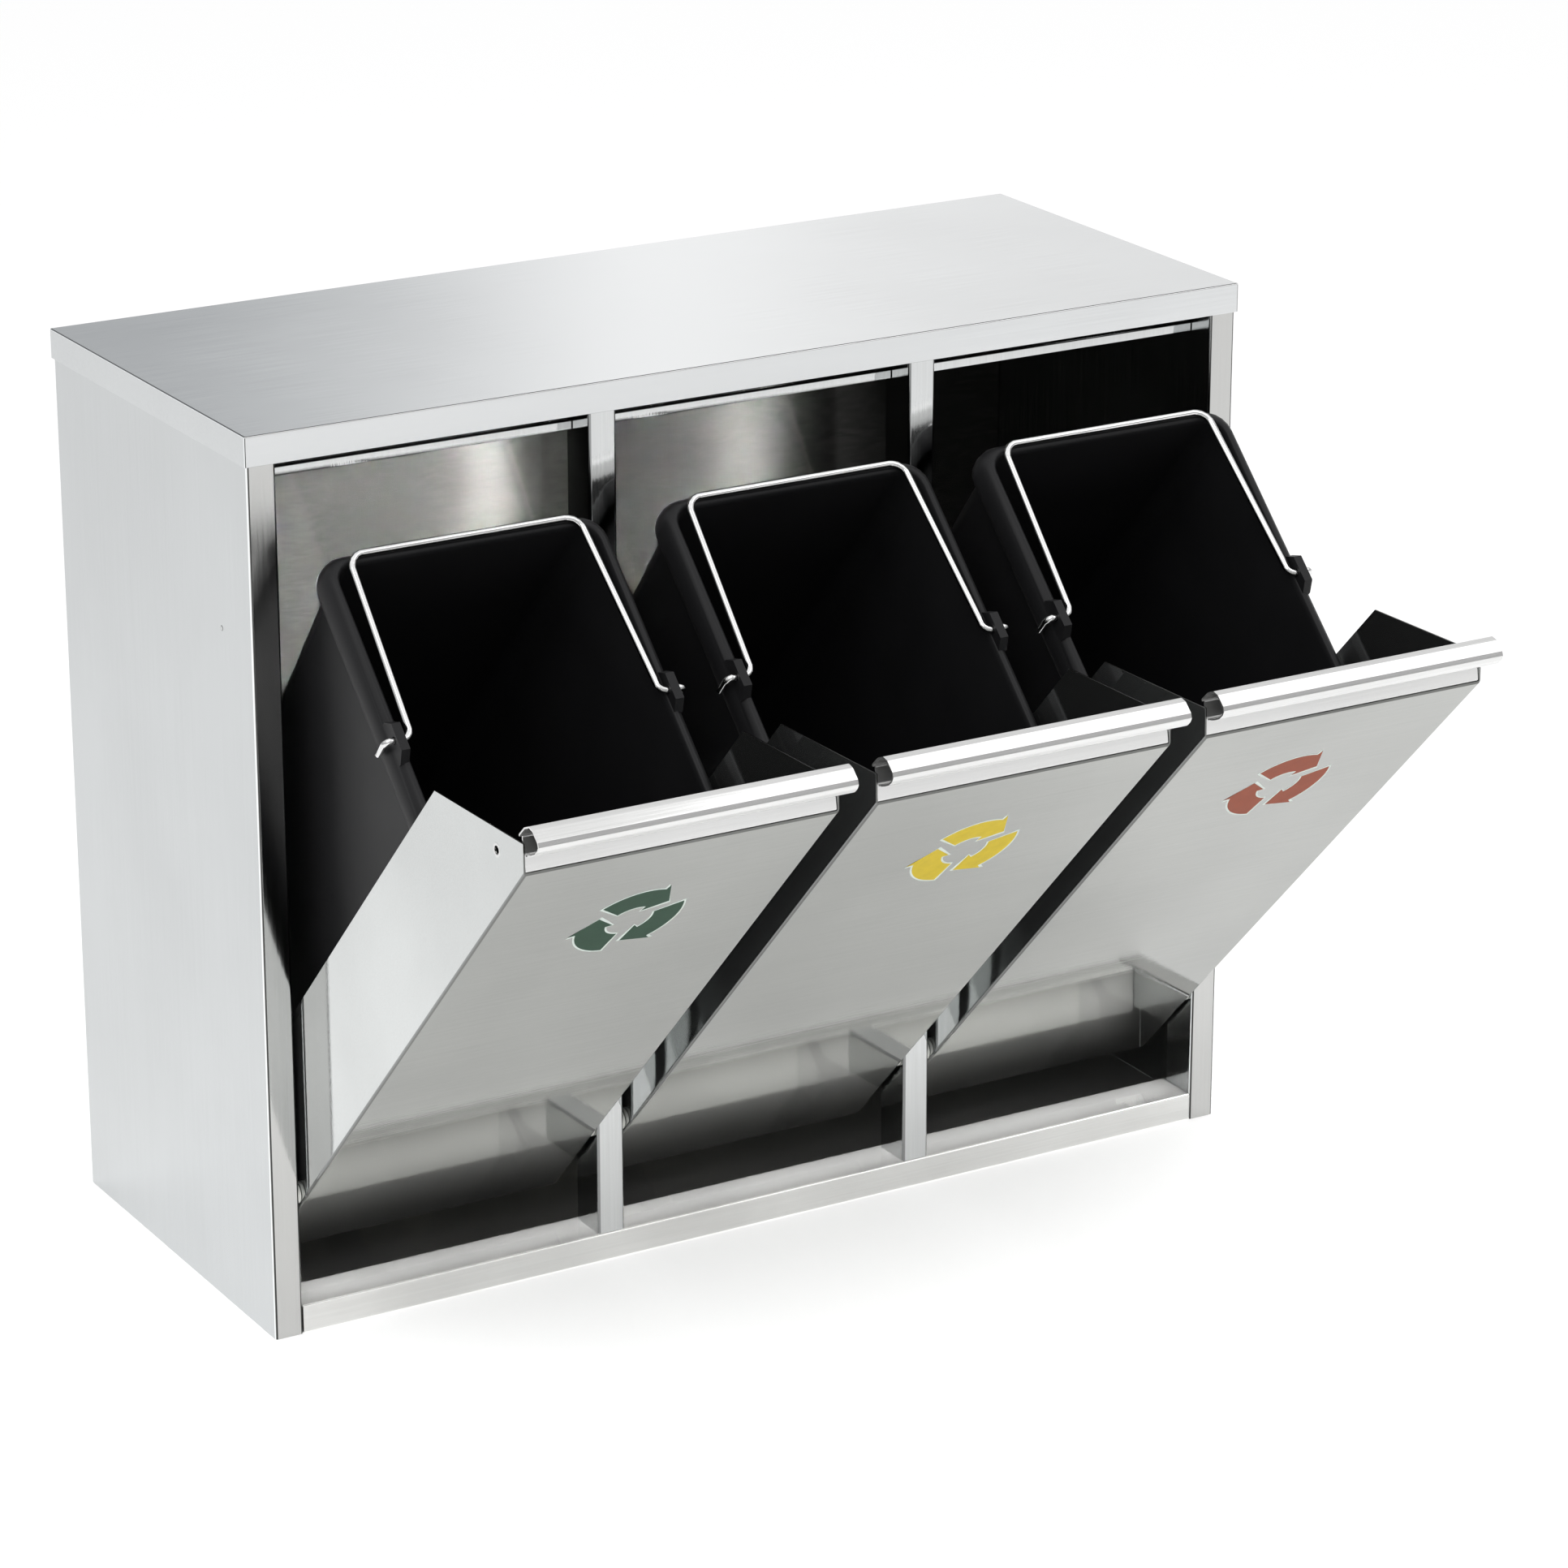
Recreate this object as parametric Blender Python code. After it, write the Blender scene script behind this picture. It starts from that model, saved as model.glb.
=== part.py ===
"""Three-bay tilt-out recycling station: a folded sheet-steel cabinet with three
tilting doors, each carrying a lift-out plastic bucket with a wire bail.

Metres, +Z up. The front faces -Y. The origin is the centre of the cabinet's
underside. The doors are modelled upright about their hinge axis and then turned
open on their hinge empties, which is how the station stands at rest.
"""
import math

import bmesh
import bpy
from mathutils import Matrix, Vector

MM = 0.001

# ---- driving dimensions (millimetres) ---------------------------------------
BODY_W, BODY_D, HEIGHT = 628.0, 252.0, 520.0   # folded body, without the lid's lips
SHEET = 1.0                                    # sheet-steel thickness
GAP = 0.3                                      # between pieces that touch
FACE = 17.0                                    # width of every frame member's face
RETURN = 25.0                                  # depth of the folded returns
RAIL_RETURN = 29.0                             # depth of the bottom rail's top
REAR_LIP = 14.0                                # side panels' rear return
BAY_W = (BODY_W - 4 * FACE) / 3
BODY_TOP = HEIGHT - SHEET - GAP                # the body ends under the lid
BEND_R = 1.6                                   # outer bend radius of the sheet

OPEN_DEG = 44.0                                # door tilt at rest, on its stop
HINGE_Y, HINGE_Z = 8.0, 82.0                   # hinge axis: behind the front, up
DOOR_FRONT, DOOR_BOTTOM = 1.0, 20.0            # closed door: front face, lower edge
SIDE_GAP = 2.5                                 # door to frame, each side
DOOR_W = BAY_W - 2 * SIDE_GAP
PANEL_H = 452.5                                # flat part of the door front
WING_PEAK = (12.0, 464.5)                      # (depth, height) of the wing's top
WING_D = 80.0                                  # depth of the wings
SHELF_D, SHELF_LIP = 220.0, 15.0
GRIP_HOLE = (24.0, 436.0, 2.5)                 # depth, height, radius
STOP_AT, STOP_R = (73.0, 101.1), 3.0           # stop stud on the wing
PIN_R, PIN_HOLE_R = 2.7, 3.0

# handle: folded strip, (depth, height above PANEL_H) of its outer line
HANDLE_LAP = 20.0                              # flange behind the door panel
HANDLE_HALF, HANDLE_STEP = 91.6, 12.9          # roll's half length, and where it widens
HANDLE_LINE = (
    (2.2, -HANDLE_LAP), (2.2, 0.4), (8.2, 5.2), (16.4, 11.4), (17.2, 13.8),
    (16.8, 21.0), (14.6, 26.2), (11.0, 28.3), (4.0, 28.5), (1.4, 27.2),
    (0.5, 24.6), (0.7, 20.6), (2.2, 16.6), (7.0, 7.4),
)

STOP_BAR = ((19.0, 489.4), (19.0, 495.2), (31.0, 495.2))   # (depth, height)

BUCKET_FOOT = SHEET + 2 * GAP                  # underside, above the door's lower edge
BUCKET_MID = 128.0                             # depth of the mouth's centre and the bail axis
# one closed run of rings, from the foot up the outer wall, round the skirted rim and
# down inside: height above the foot, half width, half depth, corner radius, depth shift
BUCKET_RINGS = (
    (0.0, 66.0, 90.0, 14.0, -5.0),
    (0.9, 68.0, 92.0, 16.0, -5.0),
    (3.2, 69.0, 93.0, 17.0, -5.0),
    (334.0, 78.9, 107.8, 11.8, 0.0),
    (350.0, 79.4, 108.3, 12.2, 0.0),
    (351.6, 80.7, 109.6, 13.0, 0.0),
    (350.0, 82.6, 111.5, 14.0, 0.0),
    (341.2, 83.7, 112.6, 14.6, 0.0),
    (340.4, 84.3, 113.2, 15.0, 0.0),
    (341.0, 85.1, 114.0, 15.5, 0.0),
    (345.0, 85.6, 114.5, 15.8, 0.0),
    (350.5, 85.0, 113.9, 15.4, 0.0),
    (354.4, 83.0, 111.9, 14.2, 0.0),
    (356.2, 80.6, 109.5, 12.8, 0.0),
    (356.4, 78.9, 107.8, 11.8, 0.0),
    (355.4, 77.5, 106.4, 10.6, 0.0),
    (352.0, 77.0, 105.9, 10.2, 0.0),
    (334.0, 76.7, 105.6, 10.0, 0.0),
    (6.0, 66.8, 90.8, 14.8, -5.0),
    (3.4, 66.0, 90.0, 14.0, -5.0),
    (2.6, 64.4, 88.4, 12.6, -5.0),
)
LUG_X, LUG_H, LUG_LEN = (78.4, 83.6), (352.5, 364.6), (25.0, 16.0)

BAIL_R = 2.0
BAIL_AXIS_H = 360.4                            # above the door's lower edge
BAIL_HOLE_R = 2.3
BAIL_BACK = 238.5                              # depth of the crossbar at rest
BAIL_HALF_BACK, BAIL_HALF_FRONT = 68.5, 73.5   # half spread at crossbar, at lugs
BAIL_CORNER = 9.0
BAIL_HOOK_X, BAIL_HOOK_DROP = 88.4, 13.0


# ---- small tools ------------------------------------------------------------
def clear_scene():
    for obj in list(bpy.data.objects):
        bpy.data.objects.remove(obj, do_unlink=True)


def material(name, rgb, metallic, roughness):
    mat = bpy.data.materials.new(name)
    mat.use_nodes = True
    bsdf = mat.node_tree.nodes["Principled BSDF"]
    bsdf.inputs["Base Color"].default_value = (*rgb, 1.0)
    bsdf.inputs["Metallic"].default_value = metallic
    bsdf.inputs["Roughness"].default_value = roughness
    mat.diffuse_color = (*rgb, 1.0)
    return mat


FINISHES = {
    "brushed_steel": ((0.62, 0.63, 0.63), 1.0, 0.30),
    "satin_steel": ((0.70, 0.71, 0.70), 1.0, 0.20),
    "polished_steel": ((0.80, 0.81, 0.81), 1.0, 0.12),
    "chromed_wire": ((0.86, 0.87, 0.87), 1.0, 0.08),
    "black_plastic": ((0.012, 0.012, 0.013), 0.0, 0.45),
    "white_nylon": ((0.75, 0.75, 0.72), 0.0, 0.50),
}


def add_object(name, mesh, finish, parent=None):
    """Each node gets its own material, made from a named finish."""
    obj = bpy.data.objects.new(name, mesh)
    bpy.context.scene.collection.objects.link(obj)
    mesh.materials.append(material(name + "_finish", *FINISHES[finish]))
    obj.parent = parent
    return obj


def mesh_from(name, bm, smooth_deg=None):
    bmesh.ops.recalc_face_normals(bm, faces=bm.faces)
    mesh = bpy.data.meshes.new(name)
    bm.to_mesh(mesh)
    bm.free()
    if smooth_deg is not None:
        mesh.shade_smooth()
        mesh.set_sharp_from_angle(angle=math.radians(smooth_deg))
    return mesh


def rounded_path(points, radius, steps=3):
    """A polyline with its inner corners replaced by short arcs, for sheet bends."""
    pts = [Vector(p) for p in points]
    if radius <= 0:
        return pts
    out = [pts[0]]
    for a, b, c in zip(pts, pts[1:], pts[2:]):
        u, v = (a - b).normalized(), (c - b).normalized()
        turn = math.pi - u.angle(v)
        cut = min(radius * math.tan(turn / 2), 0.45 * min((a - b).length, (c - b).length))
        r = cut / math.tan(turn / 2)
        centre = b + (u + v).normalized() * (r / math.cos(turn / 2))
        start, end = b + u * cut - centre, b + v * cut - centre
        for k in range(steps + 1):
            t = k / steps
            w = start.lerp(end, t).normalized() * r
            out.append(centre + w)
    out.append(pts[-1])
    return out


def inner_line(line, thickness):
    """The other side of a strip whose given line is its outer side. The strip's
    thickness lies on the line's left, seen in the direction of travel."""
    n = len(line)
    inner = []
    for i, p in enumerate(line):
        dirs = []
        if i > 0:
            dirs.append((p - line[i - 1]).normalized())
        if i < n - 1:
            dirs.append((line[i + 1] - p).normalized())
        normals = [Vector((-d.y, d.x)) for d in dirs]
        mid = sum(normals, Vector((0.0, 0.0))).normalized()
        inner.append(p + mid * (thickness / max(0.3, mid.dot(normals[0]))))
    return inner


def at_section(p, axis, s):
    """A point of a cross-section, in metres. Pairs are (Y, Z) along X or (X, Y) along Z."""
    return Vector((s, p[0], p[1])) * MM if axis == "X" else Vector((p[0], p[1], s)) * MM


def prism(name, outline, axis, start, end):
    """A closed outline pushed along X or Z."""
    bm = bmesh.new()
    rings = [[bm.verts.new(at_section(p, axis, s)) for p in outline] for s in (start, end)]
    n = len(outline)
    for i in range(n):
        bm.faces.new((rings[0][i], rings[0][(i + 1) % n], rings[1][(i + 1) % n], rings[1][i]))
    caps = [bm.faces.new(rings[0][::-1]), bm.faces.new(rings[1])]
    bmesh.ops.triangulate(bm, faces=caps, ngon_method="EAR_CLIP")
    return mesh_from(name, bm)


def sheet(name, line, axis, start, end, bend=BEND_R, thickness=SHEET, steps=3):
    """A folded sheet: a bent strip pushed along X or Z."""
    outer = rounded_path(line, bend, steps)
    bm = bmesh.new()
    rows = []
    for side in (outer, inner_line(outer, thickness)):
        for s in (start, end):
            rows.append([bm.verts.new(at_section(p, axis, s)) for p in side])
    out_a, out_b, in_a, in_b = rows
    for low, high in ((out_a, out_b), (in_b, in_a), (in_a, out_a), (out_b, in_b)):
        for k in range(len(outer) - 1):
            bm.faces.new((low[k], low[k + 1], high[k + 1], high[k]))
    for k in (0, -1):
        bm.faces.new((out_a[k], out_b[k], in_b[k], in_a[k]))
    return mesh_from(name, bm)


def turned(name, profile, x_from, segments=16):
    """A solid turned about X. The profile is (radius, x offset) from end to end."""
    bm = bmesh.new()
    rings = []
    for r, x in profile:
        ring = []
        for k in range(segments):
            a = 2 * math.pi * k / segments
            ring.append(bm.verts.new(Vector((x_from + x, r * math.cos(a), r * math.sin(a))) * MM))
        rings.append(ring)
    for low, high in zip(rings, rings[1:]):
        for k in range(segments):
            bm.faces.new((low[k], low[(k + 1) % segments], high[(k + 1) % segments], high[k]))
    if profile[0] == profile[-1]:
        bmesh.ops.remove_doubles(bm, verts=bm.verts, dist=1e-7)
    else:
        bm.faces.new(rings[0][::-1])
        bm.faces.new(rings[-1])
    return mesh_from(name, bm, smooth_deg=35)


def cutter(name, mesh, parent=None):
    obj = bpy.data.objects.new("cut_" + name, mesh)
    bpy.context.scene.collection.objects.link(obj)
    obj.hide_render = True
    obj.display_type = "WIRE"
    obj.parent = parent
    return obj


def cut(obj, tool):
    mod = obj.modifiers.new("cut_" + tool.name, "BOOLEAN")
    mod.operation, mod.solver, mod.object = "DIFFERENCE", "EXACT", tool


def box_mesh(name, low, high):
    outline = [(low[0], low[1]), (high[0], low[1]), (high[0], high[1]), (low[0], high[1])]
    return prism(name, outline, "Z", low[2], high[2])


def hole_tool(name, x0, x1, y, z, radius, parent=None, segments=16):
    mesh = turned(name, ((radius, 0.0), (radius, x1 - x0)), x0, segments)
    tool = cutter(name, mesh, parent)
    tool.location = Vector((0.0, y, z)) * MM
    return tool


# ---- positions --------------------------------------------------------------
def front(y):
    """Depth behind the cabinet's front plane, as a world Y."""
    return y - BODY_D / 2


def bay_edges(i):
    left = -BODY_W / 2 + FACE + i * (BAY_W + FACE)
    return left, left + BAY_W


def bay_name(i):
    return ("left", "middle", "right")[i]


def frame_hinge_holes(obj, x_return, side, tag):
    """Pin hole through one return; side is +1 where the bay lies to its right."""
    x0, x1 = (x_return - 2, x_return + 1) if side > 0 else (x_return - 1, x_return + 2)
    cut(obj, hole_tool(tag, x0, x1, front(HINGE_Y), HINGE_Z, PIN_HOLE_R))


# ---- cabinet ----------------------------------------------------------------
def build_lid():
    """A shallow lid: top sheet with lips folded down on all four sides."""
    out_x, out_y = BODY_W / 2 + GAP + SHEET, BODY_D / 2 + GAP + SHEET
    bm = bmesh.new()
    bmesh.ops.create_cube(bm, size=1.0)
    for v in bm.verts:
        v.co = Vector((v.co.x * 2 * out_x, v.co.y * 2 * out_y,
                       HEIGHT if v.co.z > 0 else HEIGHT - FACE)) * MM
    bmesh.ops.delete(bm, geom=[f for f in bm.faces if f.normal.z < -0.5], context="FACES_ONLY")
    edges = [e for e in bm.edges if not e.is_boundary]
    bmesh.ops.bevel(bm, geom=edges, offset=BEND_R * 0.6 * MM, segments=2, affect="EDGES",
                    profile=0.5, clamp_overlap=True)
    lid = add_object("top_panel", mesh_from("top_panel", bm), "satin_steel")
    solid = lid.modifiers.new("sheet", "SOLIDIFY")
    solid.thickness, solid.offset, solid.use_even_offset = SHEET * MM, -1.0, True
    return lid


def build_side(sign):
    """Side panel with its stile, the stile's return and a rear lip, in one fold."""
    name = "left_side_panel" if sign < 0 else "right_side_panel"
    half, back = BODY_W / 2, front(BODY_D)
    line = [(half - REAR_LIP, back), (half, back), (half, front(0)),
            (half - FACE, front(0)), (half - FACE, front(RETURN))]
    line = [(sign * x, y) for x, y in line]
    if sign > 0:
        line.reverse()
    side = add_object(name, sheet(name, line, "Z", 0.0, BODY_TOP), "brushed_steel")
    frame_hinge_holes(side, sign * (half - FACE), -sign, name + "_pin")
    return side


def build_mullion(i):
    """Channel post between two bays, standing on the bottom rail."""
    name = "mullion_left" if i == 0 else "mullion_right"
    x0 = bay_edges(i)[1]
    line = [(x0, front(RETURN)), (x0, front(0)), (x0 + FACE, front(0)), (x0 + FACE, front(RETURN))]
    post = add_object(name, sheet(name, line, "Z", FACE + GAP, BODY_TOP), "polished_steel")
    frame_hinge_holes(post, x0, -1, name + "_pin_l")
    frame_hinge_holes(post, x0 + FACE, 1, name + "_pin_r")
    return post


def build_base():
    """Floor pan. Its front edge is folded up and back as the bottom rail."""
    inner = BODY_W / 2 - SHEET - GAP
    rear = front(BODY_D) - SHEET - GAP
    line = [(front(RAIL_RETURN), 10.0), (front(RAIL_RETURN), FACE), (front(0), FACE),
            (front(0), 0.0), (rear, 0.0), (rear, 16.0)]
    pan = add_object("base_pan", sheet("base_pan", line, "X", -inner, inner, bend=1.2),
                     "brushed_steel")
    edge = BODY_W / 2 - FACE
    for sign, tag in ((-1, "left"), (1, "right")):
        xs = sorted((sign * (edge - GAP), sign * (inner + 5)))
        box = box_mesh("base_" + tag, (xs[0], front(-3), -3), (xs[1], front(RAIL_RETURN + GAP), FACE + 5))
        cut(pan, cutter("base_" + tag, box))
    return pan


def build_back():
    inner = BODY_W / 2 - SHEET - GAP
    rear = front(BODY_D) - 2 * (SHEET + GAP)
    mesh = box_mesh("back_panel", (-inner, rear - SHEET, SHEET + GAP), (inner, rear, BODY_TOP))
    return add_object("back_panel", mesh, "brushed_steel")


def build_stop_bar(i):
    x0, x1 = bay_edges(i)
    line = [(front(y), z) for y, z in STOP_BAR][::-1]
    name = f"{bay_name(i)}_stop_bar"
    return add_object(name, sheet(name, line, "X", x0 + GAP, x1 - GAP, bend=1.2), "polished_steel")


def build_hinge(i, sign):
    """Shoulder pin riveted in the frame's return, with a nylon washer on it."""
    edge = bay_edges(i)[0 if sign < 0 else 1]
    tag = f"{bay_name(i)}_hinge"
    side = "left" if sign < 0 else "right"
    reach = SIDE_GAP + SHEET
    profile = ((3.6, -2.9), (4.2, -2.6), (4.2, -SHEET - GAP), (PIN_R, -SHEET - GAP),
               (PIN_R, reach + GAP), (5.0, reach + GAP), (5.0, reach + 1.3), (4.2, reach + 1.7))
    pin = turned("pin", profile if sign < 0 else [(r, -x) for r, x in profile], edge)
    washer = ((PIN_HOLE_R, GAP), (6.0, GAP), (6.0, SIDE_GAP - GAP), (PIN_HOLE_R, SIDE_GAP - GAP),
              (PIN_HOLE_R, GAP))
    bush = turned("bush", washer if sign < 0 else [(r, -x) for r, x in washer], edge)
    for kind, mesh, finish in (("pin", pin, "polished_steel"), ("bush", bush, "white_nylon")):
        obj = add_object(f"{tag}_{kind}_{side}", mesh, finish)
        obj.location = Vector((0.0, front(HINGE_Y), HINGE_Z)) * MM


# ---- doors ------------------------------------------------------------------
def door_point(depth, height):
    """(depth behind the door's front, height above its lower edge) -> hinge frame."""
    return depth + DOOR_FRONT - HINGE_Y, height + DOOR_BOTTOM - HINGE_Z


def hinge_empty(i):
    x0, x1 = bay_edges(i)
    empty = bpy.data.objects.new(f"{bay_name(i)}_door_hinge", None)
    bpy.context.scene.collection.objects.link(empty)
    empty.location = Vector(((x0 + x1) / 2, front(HINGE_Y), HINGE_Z)) * MM
    empty.rotation_euler = (math.radians(OPEN_DEG), 0.0, 0.0)
    return empty


def build_door_panel(i, hinge):
    """Door front and its two wings, folded from one sheet."""
    name = f"{bay_name(i)}_door_panel"
    half = DOOR_W / 2
    y0, z0 = door_point(0, 0)
    line = [(-half, y0 + WING_D), (-half, y0), (half, y0), (half, y0 + WING_D)]
    door = add_object(name, sheet(name, line, "Z", z0, door_point(0, WING_PEAK[1] + 5)[1]),
                      "satin_steel", hinge)
    depth, peak = WING_PEAK
    top = [(-6, peak - depth - 6), (depth, peak), (WING_D + 6, peak - (WING_D + 6 - depth)),
           (WING_D + 6, peak + 20), (-6, peak + 20)]
    tool = prism(name + "_top", [door_point(*p) for p in top], "X", -half - 4, half + 4)
    cut(door, cutter(name + "_top", tool, hinge))
    for sign, side in ((-1, "l"), (1, "r")):
        x0, x1 = sorted((sign * (half - 3), sign * (half + 2)))
        holes = (("pivot", 0.0, 0.0, PIN_HOLE_R), ("grip", *door_point(*GRIP_HOLE[:2]), GRIP_HOLE[2]),
                 ("stud", *door_point(*STOP_AT), 1.8))
        for kind, y, z, r in holes:
            cut(door, hole_tool(f"{name}_{kind}_{side}", x0, x1, y, z, r, hinge, 12))
    return door


def build_handle(i, hinge):
    """Grip strip: its flange fits between the wings, its roll runs the door's full width."""
    name = f"{bay_name(i)}_door_handle"
    flange = DOOR_W / 2 - SHEET - GAP
    line = [Vector(door_point(d, h + PANEL_H)) for d, h in HANDLE_LINE]
    mesh = sheet(name, line, "X", -HANDLE_HALF, HANDLE_HALF, bend=1.0, thickness=0.9, steps=2)
    handle = add_object(name, mesh, "polished_steel", hinge)
    y0, z0 = door_point(-5.0, PANEL_H - HANDLE_LAP - 5)
    y1, z1 = door_point(30.0, PANEL_H + HANDLE_STEP)
    for sign, side in ((-1, "l"), (1, "r")):
        x0, x1 = sorted((sign * flange, sign * (HANDLE_HALF + 3)))
        cut(handle, cutter(f"{name}_{side}", box_mesh(name, (x0, y0, z0), (x1, y1, z1)), hinge))
    return handle


def build_shelf(i, hinge):
    """Tray that carries the bucket, with a lip at the front and at the rear."""
    name = f"{bay_name(i)}_bucket_shelf"
    half = DOOR_W / 2 - SHEET - GAP
    line = [(SHEET + GAP, 20.0), (SHEET + GAP, GAP), (SHELF_D, GAP), (SHELF_D, SHELF_LIP)]
    line = [door_point(*p) for p in line]
    return add_object(name, sheet(name, line, "X", -half, half), "brushed_steel", hinge)


def build_stud(i, sign, hinge):
    """Rivet that meets the frame's return when the door is fully open."""
    name = f"{bay_name(i)}_stop_stud_{'left' if sign < 0 else 'right'}"
    edge = sign * DOOR_W / 2
    profile = ((STOP_R - 0.5, -2.0), (STOP_R, -1.7), (STOP_R, -GAP), (1.4, -GAP),
               (1.4, SHEET + GAP), (2.6, SHEET + GAP), (2.6, SHEET + 1.1), (2.0, SHEET + 1.4))
    stud = turned(name, profile if sign < 0 else [(r, -x) for r, x in profile], edge, 12)
    obj = add_object(name, stud, "polished_steel", hinge)
    y, z = door_point(*STOP_AT)
    obj.location = Vector((0.0, y, z)) * MM


# ---- buckets ----------------------------------------------------------------
def rounded_rectangle(half_x, half_y, radius, steps=5):
    pts = []
    corners = ((1, 1, 0), (-1, 1, 90), (-1, -1, 180), (1, -1, 270))
    for sx, sy, start in corners:
        cx, cy = sx * (half_x - radius), sy * (half_y - radius)
        for k in range(steps + 1):
            a = math.radians(start + 90 * k / steps)
            pts.append((cx + radius * math.cos(a), cy + radius * math.sin(a)))
    return pts


def bucket_mesh(name):
    """Tapered shell with a skirted rim, in the hinge frame."""
    bm = bmesh.new()
    rings = []
    for h, hx, hy, radius, shift in BUCKET_RINGS:
        y, z = door_point(BUCKET_MID + shift, BUCKET_FOOT + h)
        ring = [bm.verts.new(Vector((px, y + py, z)) * MM)
                for px, py in rounded_rectangle(hx, hy, radius)]
        rings.append(ring)
    n = len(rings[0])
    for low, high in zip(rings, rings[1:]):
        for k in range(n):
            bm.faces.new((low[k], low[(k + 1) % n], high[(k + 1) % n], high[k]))
    bm.faces.new(rings[0][::-1])
    bm.faces.new(rings[-1])
    return mesh_from(name, bm, smooth_deg=40)


def lug_mesh(name, x0, x1):
    """Raised eye on the rim that the bail hooks through."""
    low, high = (half / 2 for half in LUG_LEN)
    outline = [(BUCKET_MID - low, LUG_H[0]), (BUCKET_MID + low, LUG_H[0]),
               (BUCKET_MID + low, LUG_H[0] + 5.0), (BUCKET_MID + high, LUG_H[1]),
               (BUCKET_MID - high, LUG_H[1]), (BUCKET_MID - low, LUG_H[0] + 5.0)]
    return prism(name, [door_point(*p) for p in outline], "X", x0, x1)


def build_bucket(i, hinge):
    name = f"{bay_name(i)}_bucket"
    bucket = add_object(name, bucket_mesh(name), "black_plastic", hinge)
    y, z = door_point(BUCKET_MID, BAIL_AXIS_H)
    for sign, side in ((-1, "l"), (1, "r")):
        x0, x1 = sorted((sign * LUG_X[0], sign * LUG_X[1]))
        lug = cutter(f"{name}_lug_{side}", lug_mesh(name, x0, x1), hinge)
        mod = bucket.modifiers.new("join_" + lug.name, "BOOLEAN")
        mod.operation, mod.solver, mod.object = "UNION", "EXACT", lug
        cut(bucket, hole_tool(f"{name}_{side}", x0 - 2.3, x1 + 2.3, y, z, BAIL_HOLE_R, hinge, 12))
    return bucket


def bail_line():
    """Wire route as (x, depth, height) from the bail's axis, one hook to the other."""
    reach = BAIL_BACK - BUCKET_MID
    half = [Vector((BAIL_HOOK_X, 0.0, -BAIL_HOOK_DROP)), Vector((BAIL_HOOK_X, 0.0, 0.0)),
            Vector((BAIL_HALF_FRONT, 0.0, 0.0)), Vector((BAIL_HALF_BACK, reach, 0.0))]
    whole = half + [Vector((-p.x, p.y, p.z)) for p in reversed(half)]
    radii = [3.0, 5.0, BAIL_CORNER, BAIL_CORNER, 5.0, 3.0]
    out = [whole[0]]
    for r, a, b, c in zip(radii, whole, whole[1:], whole[2:]):
        out += rounded_path([a, b, c], r, 5)[1:-1]
    return out + [whole[-1]]


def build_bail(i, hinge):
    name = f"{bay_name(i)}_bail"
    curve = bpy.data.curves.new(name, "CURVE")
    curve.dimensions, curve.bevel_depth, curve.bevel_resolution = "3D", BAIL_R * MM, 2
    curve.use_fill_caps = True
    points = bail_line()
    spline = curve.splines.new("POLY")
    spline.points.add(len(points) - 1)
    for p, q in zip(spline.points, points):
        p.co = (*(q * MM), 1.0)
    bail = bpy.data.objects.new(name, curve)
    bpy.context.scene.collection.objects.link(bail)
    curve.materials.append(material(name + "_finish", *FINISHES["chromed_wire"]))
    bail.parent = hinge
    y, z = door_point(BUCKET_MID, BAIL_AXIS_H)
    bail.location = Vector((0.0, y, z)) * MM
    return bail


# ---- assembly ---------------------------------------------------------------
def main():
    clear_scene()
    build_lid()
    for sign in (-1, 1):
        build_side(sign)
    for i in (0, 1):
        build_mullion(i)
    build_base()
    build_back()
    for i in range(3):
        build_stop_bar(i)
        hinge = hinge_empty(i)
        build_door_panel(i, hinge)
        build_handle(i, hinge)
        build_shelf(i, hinge)
        build_bucket(i, hinge)
        build_bail(i, hinge)
        for sign in (-1, 1):
            build_hinge(i, sign)
            build_stud(i, sign, hinge)


main()
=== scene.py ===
"""Looks for the tilt-out recycling station: studio, finishes and fine pieces around the
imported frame. The scene is in metres, +Z up, and the front faces -Y."""
import math

import bmesh
import bpy
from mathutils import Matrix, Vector


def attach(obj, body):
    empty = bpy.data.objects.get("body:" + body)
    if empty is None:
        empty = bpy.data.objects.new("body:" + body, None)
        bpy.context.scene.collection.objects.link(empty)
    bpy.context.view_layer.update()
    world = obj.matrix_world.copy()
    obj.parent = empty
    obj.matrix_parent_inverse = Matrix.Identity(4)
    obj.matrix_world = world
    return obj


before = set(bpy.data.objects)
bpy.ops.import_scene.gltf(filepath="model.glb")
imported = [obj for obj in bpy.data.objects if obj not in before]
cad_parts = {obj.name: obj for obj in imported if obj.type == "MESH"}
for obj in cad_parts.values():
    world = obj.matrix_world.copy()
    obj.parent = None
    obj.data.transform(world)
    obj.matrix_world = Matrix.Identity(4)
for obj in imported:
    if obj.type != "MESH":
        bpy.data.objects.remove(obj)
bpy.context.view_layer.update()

MM = 0.001
X, Y, Z = 0, 1, 2
BAYS = ("left", "middle", "right")
SIDES = (("left", -1), ("right", 1))

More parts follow.
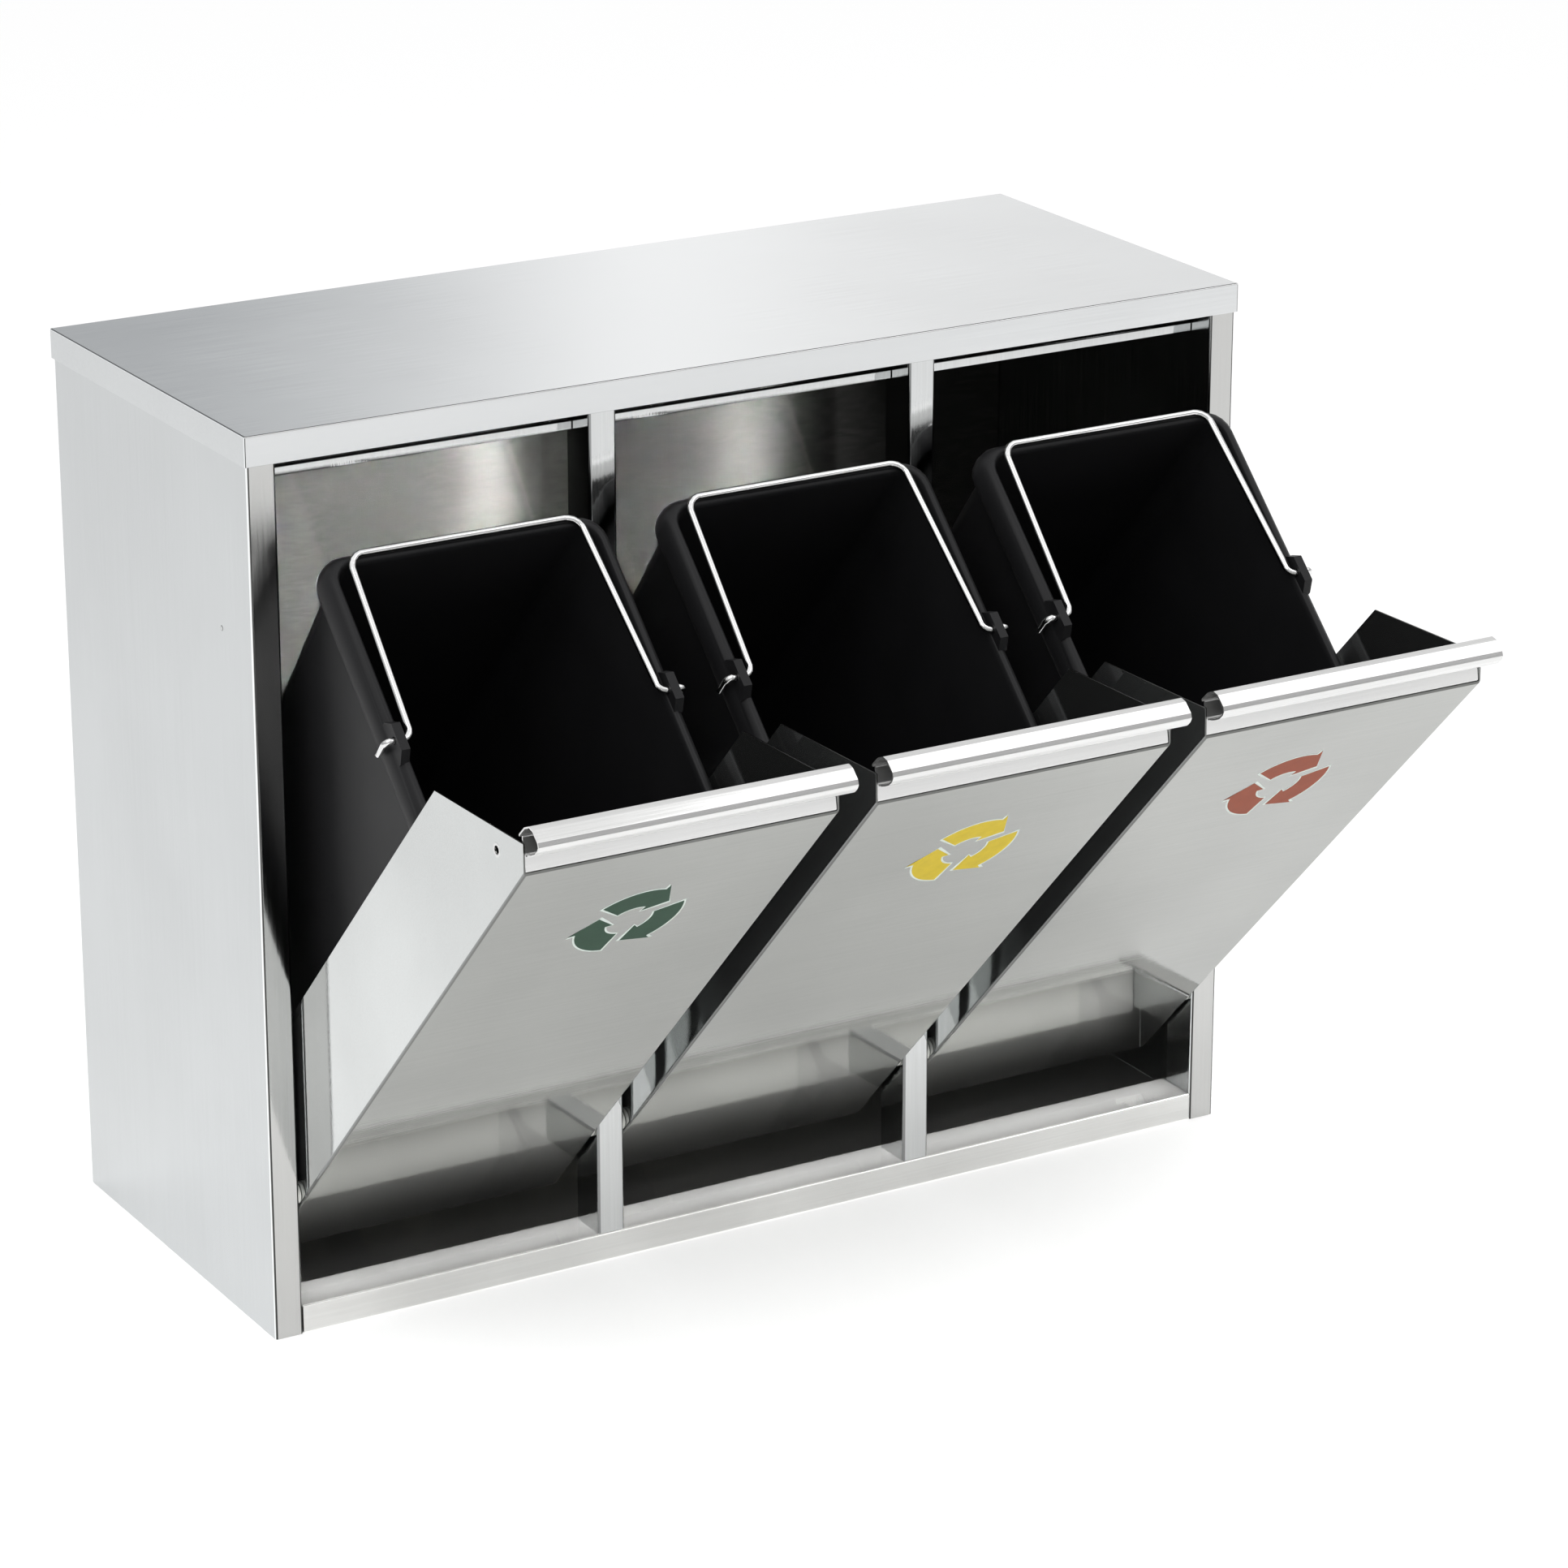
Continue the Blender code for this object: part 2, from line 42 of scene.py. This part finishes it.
# ---- the object (millimetres) -----------------------------------------------------
OPEN = math.radians(44.0)             # the doors' tilt at rest
COS_OPEN, SIN_OPEN = math.cos(OPEN), math.sin(OPEN)
HINGE_Y, HINGE_Z = -118.0, 82.0       # the door hinge line
HINGE_D, HINGE_H = 7.0, 62.0          # the same line, seen from the door
BAY_PITCH = 203.67
BAY_X = {"left": -BAY_PITCH, "middle": 0.0, "right": BAY_PITCH}
WING_HALF = 90.83                     # the door wings' outer faces
GRIP_HOLE = (24.0, 436.0)             # depth behind the door's face, height up the door
EYELET = (2.3, 4.0, 0.12)             # inner radius, outer radius, height
EYELET_STEPS = 28
SIDE_RIVET_AT = (314.0, -88.0, 404.0)
SIDE_RIVET = (1.6, 0.25)              # radius, height
RIVET_STEPS = 24

# the sorting mark on each door
MARK_H = 369.0                        # its centre, up the door
MARK_STRETCH = 1.08                   # height against width
MARK_IN, MARK_MID, MARK_OUT = 13.5, 21.5, 30.0    # radii of an arrow's body
MARK_BARB = 4.0                       # how far a head stands past the body
MARK_TIP_OUT = 1.0                    # how far the tip lies outside the middle radius
MARK_TIP_GROW, MARK_BARB_GROW = 1.9, 1.3    # a grown arrow's tip and barbs grow by more
MARK_TAIL, MARK_NECK, MARK_TIP = 50.0, -20.0, -52.0    # degrees from the arrow's heading
MARK_HEADINGS = (90.0, 210.0, 330.0)
MARK_STEPS = 14                       # along an arrow's arc
MARK_LAYERS = (("edge", 1.1, 0.0, 0.06), ("mark", 0.0, 0.06, 0.12))    # grown by, from, to
MARK_RGB = {"left": (0.014, 0.050, 0.027), "middle": (0.56, 0.42, 0.015),
            "right": (0.25, 0.050, 0.018)}

# ---- the studio -------------------------------------------------------------------
CAMERA_AT = (-1.46889, -2.64626, 1.31613)
CAMERA_TURN = (math.pi / 2 - 0.344266, 0.0, -0.531298)
CAMERA_LENS = 126.08
FLOOR_HALF = 14.0
# sweeps: (position along the ramp, linear colour)
LID_SWEEP_AZ = math.radians(25.0)
LID_SWEEP = ((0.0, (0.46, 0.47, 0.48)), (0.31, (0.55, 0.565, 0.58)), (0.38, (0.83, 0.84, 0.85)),
             (0.44, (1.27, 1.27, 1.27)), (0.52, (1.04, 1.04, 1.04)), (1.0, (0.84, 0.84, 0.84)))
FRONT_SWEEP = ((0.0, (0.42, 0.42, 0.42)), (0.3, (0.55, 0.55, 0.55)), (0.6, (0.86, 0.86, 0.86)),
               (1.0, (1.20, 1.20, 1.20)))
# upright strips that the back panel mirrors: x from, x to, watts per metre of width
BACK_STRIPS = ((1.00, 1.355, 1.2), (1.36, 1.415, 4.8), (1.50, 1.69, 0.70), (1.695, 1.77, 2.8))
STRIP_Y, STRIP_Z, STRIP_TALL = -2.65, -0.50, 0.8
BACK_FACE_Y = 0.12

# area lights: place, target, size, watts
KEY = ((-1.6, -1.6, 2.6), (0, -0.1, 0.3), (1.8, 1.8), 20)
FILL = ((1.8, -1.6, 2.4), (0, -0.1, 0.3), (1.8, 1.8), 10)
FLOOR_WASH = ((0, -0.32, 0.75), (0, -0.32, 0), (0.9, 0.6), 2.7)
RAIL_WASH = ((0, -0.110, 0.075), (0, -0.110, 0), (0.60, 0.022), 0.24)
RAIL_SPREAD = 50.0

# ---- finishes ---------------------------------------------------------------------
NOISE_RANGE = (0.35, 0.65)            # the part of a noise's range that it really fills
# noises: scale, detail
CLOUD_NOISE, WAVE_NOISE = (7.0, 5.0), (5.0, 1.0)
MOULD_BROAD, MOULD_FINE = (22.0, 5.0), (1400.0, 2.0)
PRINT_NOISE = (160.0, 4.0)
# reliefs: bump strength, distance in metres
GRAIN_RELIEF, WAVE_RELIEF, MOULD_RELIEF = (0.024, 0.0002), (1.0, 0.00025), (0.15, 0.00015)
# these masks place the painted shade and highlight on folds and the painted light on side faces
# from where to where a part of the normal makes a face count as
UP_RANGE = (0.5, 0.7)                 # facing up (z)
UPRIGHT_RANGE = (0.15, 0.05)          # upright (z)
FRONT_RANGE = (0.65, 0.8)             # facing the front (y)
SIDE_RANGE = (0.6, 0.9)               # facing a side (x)
FOLD_RANGE = (0.04, 0.22)             # on a fold (two parts multiplied)
WEAR = 0.3                            # how far the grain and the clouds each vary the gloss


# ---- shader nodes -----------------------------------------------------------------
def node(nt, kind, inputs=None, **props):
    """A shader node. inputs maps a socket's name or number to a value or another socket."""
    n = nt.nodes.new(kind)
    for key, value in props.items():
        setattr(n, key, value)
    for key, value in (inputs or {}).items():
        if isinstance(value, bpy.types.NodeSocket):
            nt.links.new(value, n.inputs[key])
        else:
            n.inputs[key].default_value = value
    return n


def stretch(nt, value, lo, hi, to=(0.0, 1.0), interpolation="LINEAR"):
    """A value pulled from lo..hi out to another range, and held at its ends."""
    n = node(nt, "ShaderNodeMapRange",
             {"Value": value, "From Min": lo, "From Max": hi, "To Min": to[0], "To Max": to[1]},
             interpolation_type=interpolation)
    return n.outputs[0]


def noise(nt, vector, scale, detail):
    n = node(nt, "ShaderNodeTexNoise", {"Vector": vector, "Scale": scale, "Detail": detail})
    return n.outputs["Fac"]


def math_node(nt, operation, *values):
    return node(nt, "ShaderNodeMath", dict(enumerate(values)), operation=operation).outputs[0]


def blend(nt, factor, a, b):
    n = node(nt, "ShaderNodeMix", {"Factor": factor, "A": a, "B": b}, data_type="RGBA")
    return n.outputs["Result"]


def bump(nt, height, strength, distance, normal=None):
    n = node(nt, "ShaderNodeBump", {"Height": height, "Strength": strength, "Distance": distance})
    if normal is not None:
        nt.links.new(normal, n.inputs["Normal"])
    return n.outputs[0]


def principled(name, **values):
    """A material with a Principled shader set to these values: (material, tree, shader)."""
    mat = bpy.data.materials.new(name)
    mat.use_nodes = True
    nt = mat.node_tree
    nt.nodes.clear()
    bsdf = node(nt, "ShaderNodeBsdfPrincipled",
                {key.replace("_", " "): value for key, value in values.items()})
    node(nt, "ShaderNodeOutputMaterial", {0: bsdf.outputs[0]})
    return mat, nt, bsdf


# ---- camera and studio ------------------------------------------------------------
def in_scene(obj):
    bpy.context.scene.collection.objects.link(obj)
    return obj


def make_camera():
    data = bpy.data.cameras.new("camera")
    data.sensor_width, data.lens = 36.0, CAMERA_LENS
    data.clip_start, data.clip_end = 0.05, 200.0
    cam = in_scene(bpy.data.objects.new("camera", data))
    cam.location, cam.rotation_euler = CAMERA_AT, CAMERA_TURN
    bpy.context.scene.camera = cam


def make_world():
    """A pale studio: darker low down at the front, and with a soft sweep across the back
    that the lid mirrors, darker to the left and brightest in the middle."""
    world = bpy.data.worlds.new("studio")
    bpy.context.scene.world = world
    world.use_nodes = True
    nt = world.node_tree
    nt.nodes.clear()
    direction = node(nt, "ShaderNodeTexCoord").outputs["Generated"]

    def along(vector):
        axis = Vector(vector).normalized()
        dot = node(nt, "ShaderNodeVectorMath", {0: direction, 1: axis}, operation="DOT_PRODUCT")
        return dot.outputs["Value"]

    def ramp(value, stops):
        r = node(nt, "ShaderNodeValToRGB", {0: value})
        elements = r.color_ramp.elements
        while len(elements) < len(stops):
            elements.new(0.5)
        for element, (position, grey) in zip(elements, stops):
            element.position, element.color = position, (*grey, 1)
        return r.outputs[0]

    across = along((math.cos(LID_SWEEP_AZ), -math.sin(LID_SWEEP_AZ), 0))
    sweep = ramp(stretch(nt, across, -0.2, 0.4), LID_SWEEP)
    front = ramp(along((0, 0, 1)), FRONT_SWEEP)
    rearward = stretch(nt, along((0, 0.8, -0.6)), 0.1, 0.4)
    sky = node(nt, "ShaderNodeBackground", {0: blend(nt, rearward, front, sweep), 1: 1.0})
    node(nt, "ShaderNodeOutputWorld", {0: sky.outputs[0]})


def make_floor():
    mesh = bpy.data.meshes.new("studio_floor")
    corners = ((-1, -1), (1, -1), (1, 1), (-1, 1))
    mesh.from_pydata([(u * FLOOR_HALF, v * FLOOR_HALF, 0) for u, v in corners], [], [(0, 1, 2, 3)])
    floor = in_scene(bpy.data.objects.new("studio_floor", mesh))
    mat, *_ = principled("studio_floor", Base_Color=(0.95, 0.95, 0.95, 1), Roughness=0.9,
                         Specular_IOR_Level=0.0, Emission_Color=(1, 1, 1, 1),
                         Emission_Strength=0.10)
    mesh.materials.append(mat)
    return floor


def area_light(name, place, target, size, power, spread=180.0, only=None):
    """A soft rectangle. With only, it falls on that one piece, past everything else."""
    data = bpy.data.lights.new(name, "AREA")
    data.shape, data.size, data.size_y = "RECTANGLE", size[0], size[1]
    data.energy, data.spread = power, math.radians(spread)
    light = in_scene(bpy.data.objects.new(name, data))
    light.location = place
    aim = Vector(target) - Vector(place)
    light.rotation_euler = aim.to_track_quat("-Z", "Y").to_euler()
    if only:
        # sampled from the piece alone: reflected rays would stop at the floor in between
        data.cycles.use_multiple_importance_sampling = False
        light.visible_camera = False
        for kind in ("receiver", "blocker"):
            group = bpy.data.collections.new(f"{name}_{kind}")
            group.objects.link(only)
            setattr(light.light_linking, f"{kind}_collection", group)


def make_lights(floor):
    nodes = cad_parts
    area_light("key", *KEY)
    area_light("fill", *FILL)
    # on the floor in front, so that the open doors mirror a pale floor
    area_light("floor_wash", *FLOOR_WASH, only=floor)
    # a line straight down on the bottom rail's folded top
    area_light("rail_wash", *RAIL_WASH, spread=RAIL_SPREAD, only=nodes["base_pan"])
    for k, (x0, x1, watts) in enumerate(BACK_STRIPS):
        mid, wide = (x0 + x1) / 2, x1 - x0
        area_light(f"back_strip_{k}", (mid, STRIP_Y, STRIP_Z), (mid, BACK_FACE_Y, STRIP_Z),
                   (wide, STRIP_TALL), watts * wide, only=nodes["back_panel"])


# ---- materials --------------------------------------------------------------------
def fold_shade(nt, normal, fold_painted_shade, fold_painted_highlight, turn):
    """The painted shade and painted highlight that a sheet's rounded folds multiply the colour by,
    and how far a face turns to the side. On each bend the half next to the upper or front face is
    darker by the first amount (painted shade), the other half brighter by the second (painted
    highlight)."""
    spin = node(nt, "ShaderNodeVectorRotate", {"Vector": normal, "Angle": turn},
                rotation_type="X_AXIS")
    parts = node(nt, "ShaderNodeSeparateXYZ", {0: spin.outputs[0]})
    nx, ny, nz = (math_node(nt, "ABSOLUTE", parts.outputs[k]) for k in (X, Y, Z))

    def product(u, v):
        return math_node(nt, "MULTIPLY", u, v)

    between = math_node(nt, "MAXIMUM", product(nx, ny), product(ny, nz))
    between = math_node(nt, "MAXIMUM", between, product(nx, nz))
    folded = stretch(nt, between, *FOLD_RANGE, interpolation="SMOOTHSTEP")
    near_front = product(stretch(nt, ny, *FRONT_RANGE), stretch(nt, nz, *UPRIGHT_RANGE))
    dark_half = math_node(nt, "MAXIMUM", stretch(nt, nz, *UP_RANGE), near_front)
    # painted shade on the dark half of each bend, painted highlight on the other
    change = math_node(nt, "MULTIPLY_ADD", dark_half, -fold_painted_shade - fold_painted_highlight, fold_painted_highlight)
    return math_node(nt, "MULTIPLY_ADD", folded, change, 1.0), nx


def brushed_tangent(nt, grain_axis):
    """The highlight spreads across the grain, so the tangent lies square to both the grain
    and the surface."""
    grain = [0.0, 0.0, 0.0]
    grain[grain_axis] = 1.0
    turned = node(nt, "ShaderNodeVectorTransform", {0: grain}, vector_type="VECTOR",
                  convert_from="OBJECT", convert_to="WORLD")
    surface = node(nt, "ShaderNodeNewGeometry").outputs["Normal"]
    cross = node(nt, "ShaderNodeVectorMath", {0: surface, 1: turned.outputs[0]},
                 operation="CROSS_PRODUCT")
    return cross.outputs[0]


def steel(name, rgb, rough, grain_axis, aniso=0.0, tint=0.03, cloud=0.03, haze=0.0, fold_painted_shade=0.55,
          fold_painted_highlight=None, turn=0.0, side_painted_light_rgb=None, grain_len=14.0, grain_fine=900.0):
    """haze is the matt share. Faces turned to the sides take the side colour, a lit or shaded copy
    of the sheet's colour: painted light. Folds are darker by the shade amount (painted shade); where
    the highlight amount is given, their outer half is brighter by it instead (painted highlight).
    turn tips a sloping sheet upright first."""
    mat, nt, bsdf = principled(name, Metallic=1.0 - haze, Anisotropic=aniso)
    coord = node(nt, "ShaderNodeTexCoord").outputs
    scale = [grain_fine] * 3
    scale[grain_axis] = grain_len
    drawn = node(nt, "ShaderNodeMapping", {"Vector": coord["Object"], "Scale": scale})
    streak = stretch(nt, noise(nt, drawn.outputs[0], 1.0, 3.0), *NOISE_RANGE)
    broad = stretch(nt, noise(nt, coord["Object"], *CLOUD_NOISE), *NOISE_RANGE)
    # painted shade and painted highlight on the folds, as a factor on the colour
    folded, nx = fold_shade(nt, coord["Normal"], fold_painted_shade, -fold_painted_shade if fold_painted_highlight is None else fold_painted_highlight, turn)

    # faces turned to the sides take the side colour: painted light, a lit or shaded copy of the
    # sheet's colour
    face = blend(nt, stretch(nt, nx, *SIDE_RANGE), (*rgb, 1), (*(side_painted_light_rgb or rgb), 1))
    streaks = math_node(nt, "MULTIPLY_ADD", streak, 2 * tint, 1.0 - tint)
    clouds = math_node(nt, "MULTIPLY_ADD", broad, 2 * cloud, 1.0 - cloud)
    # the grain's and clouds' own tone, times the painted shade and highlight of the folds
    shade = math_node(nt, "MULTIPLY", math_node(nt, "MULTIPLY", streaks, clouds), folded)
    tone = node(nt, "ShaderNodeVectorMath", {0: face, "Scale": shade}, operation="SCALE")

    wear = math_node(nt, "MULTIPLY_ADD", broad, WEAR, 1.0 - WEAR)
    wear = math_node(nt, "MULTIPLY_ADD", streak, WEAR, wear)
    wavy = bump(nt, noise(nt, coord["Object"], *WAVE_NOISE), *WAVE_RELIEF)
    nt.links.new(tone.outputs[0], bsdf.inputs["Base Color"])
    nt.links.new(math_node(nt, "MULTIPLY", wear, rough), bsdf.inputs["Roughness"])
    nt.links.new(bump(nt, streak, *GRAIN_RELIEF, wavy), bsdf.inputs["Normal"])
    if aniso:
        nt.links.new(brushed_tangent(nt, grain_axis), bsdf.inputs["Tangent"])
    return mat


def shades(rgb, low, high):
    """A colour's darker and lighter tones."""
    return [(*[min(1.0, c * k) for c in rgb], 1) for k in (low, high)]


def plastic(name, rgb, rough):
    """Moulded plastic: a fine matt grain, with broad changes of tone and gloss."""
    mat, nt, bsdf = principled(name, Specular_IOR_Level=0.2)
    place = node(nt, "ShaderNodeTexCoord").outputs["Object"]
    broad = noise(nt, place, *MOULD_BROAD)
    fine = noise(nt, place, *MOULD_FINE)
    gloss = stretch(nt, broad, 0.0, 1.0, to=(rough * 0.85, rough * 1.15))
    nt.links.new(blend(nt, broad, *shades(rgb, 0.8, 1.3)), bsdf.inputs["Base Color"])
    nt.links.new(gloss, bsdf.inputs["Roughness"])
    nt.links.new(bump(nt, fine, *MOULD_RELIEF), bsdf.inputs["Normal"])
    return mat


def paint(name, rgb, rough):
    """A printed transfer, slightly uneven."""
    mat, nt, bsdf = principled(name, Roughness=rough, Specular_IOR_Level=0.08)
    print_noise = noise(nt, node(nt, "ShaderNodeTexCoord").outputs["Object"], *PRINT_NOISE)
    nt.links.new(blend(nt, print_noise, *shades(rgb, 0.85, 1.15)), bsdf.inputs["Base Color"])
    return mat


def make_finishes():
    return {
        # The amounts darkening folds are painted shade (the pan's negative one a painted highlight),
        # the amounts brightening their outer half painted highlight, and the side colours painted
        # light on faces turned to the sides.
        "lid": steel("lid_steel", (0.655, 0.665, 0.67), 0.17, X, fold_painted_shade=0.88, fold_painted_highlight=0.6,
                     side_painted_light_rgb=(0.60, 0.615, 0.62)),
        "side": steel("side_steel", (0.52, 0.52, 0.51), 0.14, Z, tint=0.015, fold_painted_shade=0.9, fold_painted_highlight=0.6,
                      side_painted_light_rgb=(0.56, 0.575, 0.58)),
        "back": steel("back_steel", (0.60, 0.59, 0.55), 0.09, X, aniso=1.0, tint=0.10,
                      cloud=0.07, haze=0.06, grain_len=120.0, grain_fine=480.0),
        "pan": steel("pan_steel", (0.70, 0.70, 0.685), 0.05, X, cloud=0.08, haze=0.20, fold_painted_shade=-0.35),
        "post": steel("post_steel", (0.58, 0.59, 0.59), 0.05, Z),
        # the door's dark front colour is painted shade on the same sheet as its paler wings
        "door": steel("door_steel", (0.355, 0.36, 0.345), 0.03, X, cloud=0.06, haze=0.03,
                      turn=-OPEN, side_painted_light_rgb=(0.60, 0.615, 0.61)),
        "grip": steel("grip_steel", (0.70, 0.70, 0.695), 0.12, X, haze=0.14, fold_painted_shade=0.0),
        "wire": steel("wire_chrome", (0.74, 0.74, 0.74), 0.10, X, fold_painted_shade=0.0),
        "black": plastic("bucket_plastic", (0.012, 0.012, 0.013), 0.46),
        "nylon": plastic("bush_nylon", (0.70, 0.70, 0.66), 0.5),
        "edge": paint("mark_edge_paint", (0.60, 0.66, 0.62), 0.45),
    }


# ---- CAD nodes --------------------------------------------------------------------
def dress(name, mat, bevel=0.25, smooth=35.0):
    """A carried-over node: its seams welded, its edges softened, and its finish.
    bevel is in millimetres and smooth in degrees."""
    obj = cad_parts[name]
    mesh = obj.data
    if "custom_normal" in mesh.attributes:
        mesh.attributes.remove(mesh.attributes["custom_normal"])
    obj.modifiers.new("weld", "WELD").merge_threshold = 1e-6
    for polygon in mesh.polygons:
        polygon.use_smooth = True
    if bevel:
        edge = obj.modifiers.new("edge", "BEVEL")
        edge.width, edge.segments, edge.limit_method = bevel * MM, 2, "ANGLE"
        edge.angle_limit = math.radians(smooth)
        edge.use_clamp_overlap = True
    else:
        mesh.set_sharp_from_angle(angle=math.radians(smooth))
    flat = obj.modifiers.new("normals", "WEIGHTED_NORMAL")
    flat.mode, flat.weight, flat.keep_sharp = "FACE_AREA", 100, True
    mesh.materials.clear()
    mesh.materials.append(mat)


def dress_cabinet(finish):
    dress("top_panel", finish["lid"])
    dress("left_side_panel", finish["side"])
    dress("right_side_panel", finish["side"])
    dress("back_panel", finish["back"])
    dress("base_pan", finish["pan"])
    dress("mullion_left", finish["post"])
    dress("mullion_right", finish["post"])


def dress_bay(bay, finish):
    dress(f"{bay}_stop_bar", finish["post"], bevel=0.35)
    dress(f"{bay}_door_panel", finish["door"])
    dress(f"{bay}_door_handle", finish["grip"], bevel=0.15)
    dress(f"{bay}_bucket_shelf", finish["pan"])
    dress(f"{bay}_bucket", finish["black"], smooth=50.0)
    dress(f"{bay}_bail", finish["wire"], bevel=0)
    for side, _ in SIDES:
        dress(f"{bay}_hinge_pin_{side}", finish["post"], bevel=0.15)
        dress(f"{bay}_hinge_bush_{side}", finish["nylon"], bevel=0.15)
        dress(f"{bay}_stop_stud_{side}", finish["post"], bevel=0.15)


# ---- added pieces -----------------------------------------------------------------
def door_point(bay, x, d, h):
    """A point on an open door: x across, d behind the front face, h up from its foot."""
    y, z = d - HINGE_D, h - HINGE_H
    return Vector((BAY_X[bay] + x,
                   HINGE_Y + COS_OPEN * y - SIN_OPEN * z,
                   HINGE_Z + SIN_OPEN * y + COS_OPEN * z)) * MM


def add_mesh(name, bm, mat, body, smooth=False):
    bmesh.ops.recalc_face_normals(bm, faces=bm.faces)
    mesh = bpy.data.meshes.new(name)
    bm.to_mesh(mesh)
    bm.free()
    for polygon in mesh.polygons:
        polygon.use_smooth = smooth
    mesh.materials.append(mat)
    obj = in_scene(bpy.data.objects.new(name, mesh))
    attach(obj, body)


def circle(steps):
    return [2 * math.pi * i / steps for i in range(steps)]


def square_to(axis):
    """The axis, and two directions square to it and to each other."""
    axis = Vector(axis).normalized()
    u = axis.orthogonal().normalized()
    return axis, u, axis.cross(u)


def arrow_outline(heading, grow):
    """One curved arrow of the sorting mark, running clockwise; grow widens it evenly."""
    shift = math.degrees(grow / MARK_MID)
    tail, neck = heading + MARK_TAIL + shift, heading + MARK_NECK + shift
    tip = heading + MARK_TIP - MARK_TIP_GROW * shift

    def polar(r, degrees):
        a = math.radians(degrees)
        return r * math.cos(a), r * math.sin(a)

    arc = [tail + (neck - tail) * i / MARK_STEPS for i in range(MARK_STEPS + 1)]
    outer = [polar(MARK_OUT + grow, a) for a in arc]
    inner = [polar(MARK_IN - grow, a) for a in reversed(arc)]
    barb = MARK_BARB + MARK_BARB_GROW * grow
    head = [polar(MARK_OUT + barb, neck), polar(MARK_MID + MARK_TIP_OUT, tip),
            polar(MARK_IN - barb, neck)]
    return outer + head + inner


def sorting_mark(bay, paints):
    """Three arrows chasing round, a flat transfer with a pale edge on the door's face."""
    for layer, grow, low, high in MARK_LAYERS:
        bm = bmesh.new()
        for heading in MARK_HEADINGS:
            ring = arrow_outline(heading, grow)
            rows = [[bm.verts.new(door_point(bay, x, -d, MARK_H + MARK_STRETCH * z))
                     for x, z in ring] for d in (low, high)]
            caps = [bm.faces.new(row) for row in rows]
            for i in range(len(ring)):
                j = (i + 1) % len(ring)
                bm.faces.new((rows[0][i], rows[0][j], rows[1][j], rows[1][i]))
            bmesh.ops.triangulate(bm, faces=caps)
        add_mesh(f"{bay}_{layer}", bm, paints[layer], f"{bay}_door")


def eyelet(name, centre, axis, mat, body):
    """A pressed eyelet: a low rounded ring standing on a face."""
    r_in, r_out, height = EYELET
    axis, u, v = square_to(axis)
    mid, half = (r_in + r_out) / 2, (r_out - r_in) / 2
    section = [(mid + half * math.cos(t), height * math.sin(t))
               for t in [math.pi * k / 6 for k in range(7)]]
    bm = bmesh.new()
    rows = []
    for a in circle(EYELET_STEPS):
        out = u * math.cos(a) + v * math.sin(a)
        rows.append([bm.verts.new(centre + (out * r + axis * z) * MM) for r, z in section])
    for here, there in zip(rows, rows[1:] + rows[:1]):
        for k in range(len(section)):
            m = (k + 1) % len(section)
            bm.faces.new((here[k], there[k], there[m], here[m]))
    add_mesh(name, bm, mat, body, smooth=True)


def rivet(name, centre, axis, mat, body):
    """A low domed rivet head."""
    radius, height = SIDE_RIVET
    axis, u, v = square_to(axis)
    bm = bmesh.new()
    rows = []
    for t in [math.pi / 2 * k / 6 for k in range(6)]:
        r, z = radius * math.cos(t), height * math.sin(t)
        rows.append([bm.verts.new(centre + ((u * math.cos(a) + v * math.sin(a)) * r + axis * z) * MM)
                     for a in circle(RIVET_STEPS)])
    top = bm.verts.new(centre + axis * height * MM)
    n = len(rows[0])
    for low, high in zip(rows, rows[1:]):
        for i in range(n):
            j = (i + 1) % n
            bm.faces.new((low[i], low[j], high[j], high[i]))
    for i in range(n):
        bm.faces.new((rows[-1][i], rows[-1][(i + 1) % n], top))
    bm.faces.new(list(reversed(rows[0])))
    add_mesh(name, bm, mat, body, smooth=True)


def add_bay_details(bay, finish):
    mark = paint(f"{bay}_mark_paint", MARK_RGB[bay], 0.4)
    sorting_mark(bay, {"edge": finish["edge"], "mark": mark})
    for side, sign in SIDES:
        eyelet(f"{bay}_eyelet_{side}", door_point(bay, sign * WING_HALF, *GRIP_HOLE),
               (sign, 0, 0), finish["grip"], f"{bay}_door")


def add_side_rivets(finish):
    x, y, z = SIDE_RIVET_AT
    for side, sign in SIDES:
        rivet(f"side_rivet_{side}", Vector((sign * x, y, z)) * MM, (sign, 0, 0), finish["post"],
              "cabinet")


def main():
    bpy.context.scene.view_settings.view_transform = "Standard"
    make_camera()
    make_world()
    make_lights(make_floor())
    finish = make_finishes()
    dress_cabinet(finish)
    for bay in BAYS:
        dress_bay(bay, finish)
        add_bay_details(bay, finish)
    add_side_rivets(finish)


main()
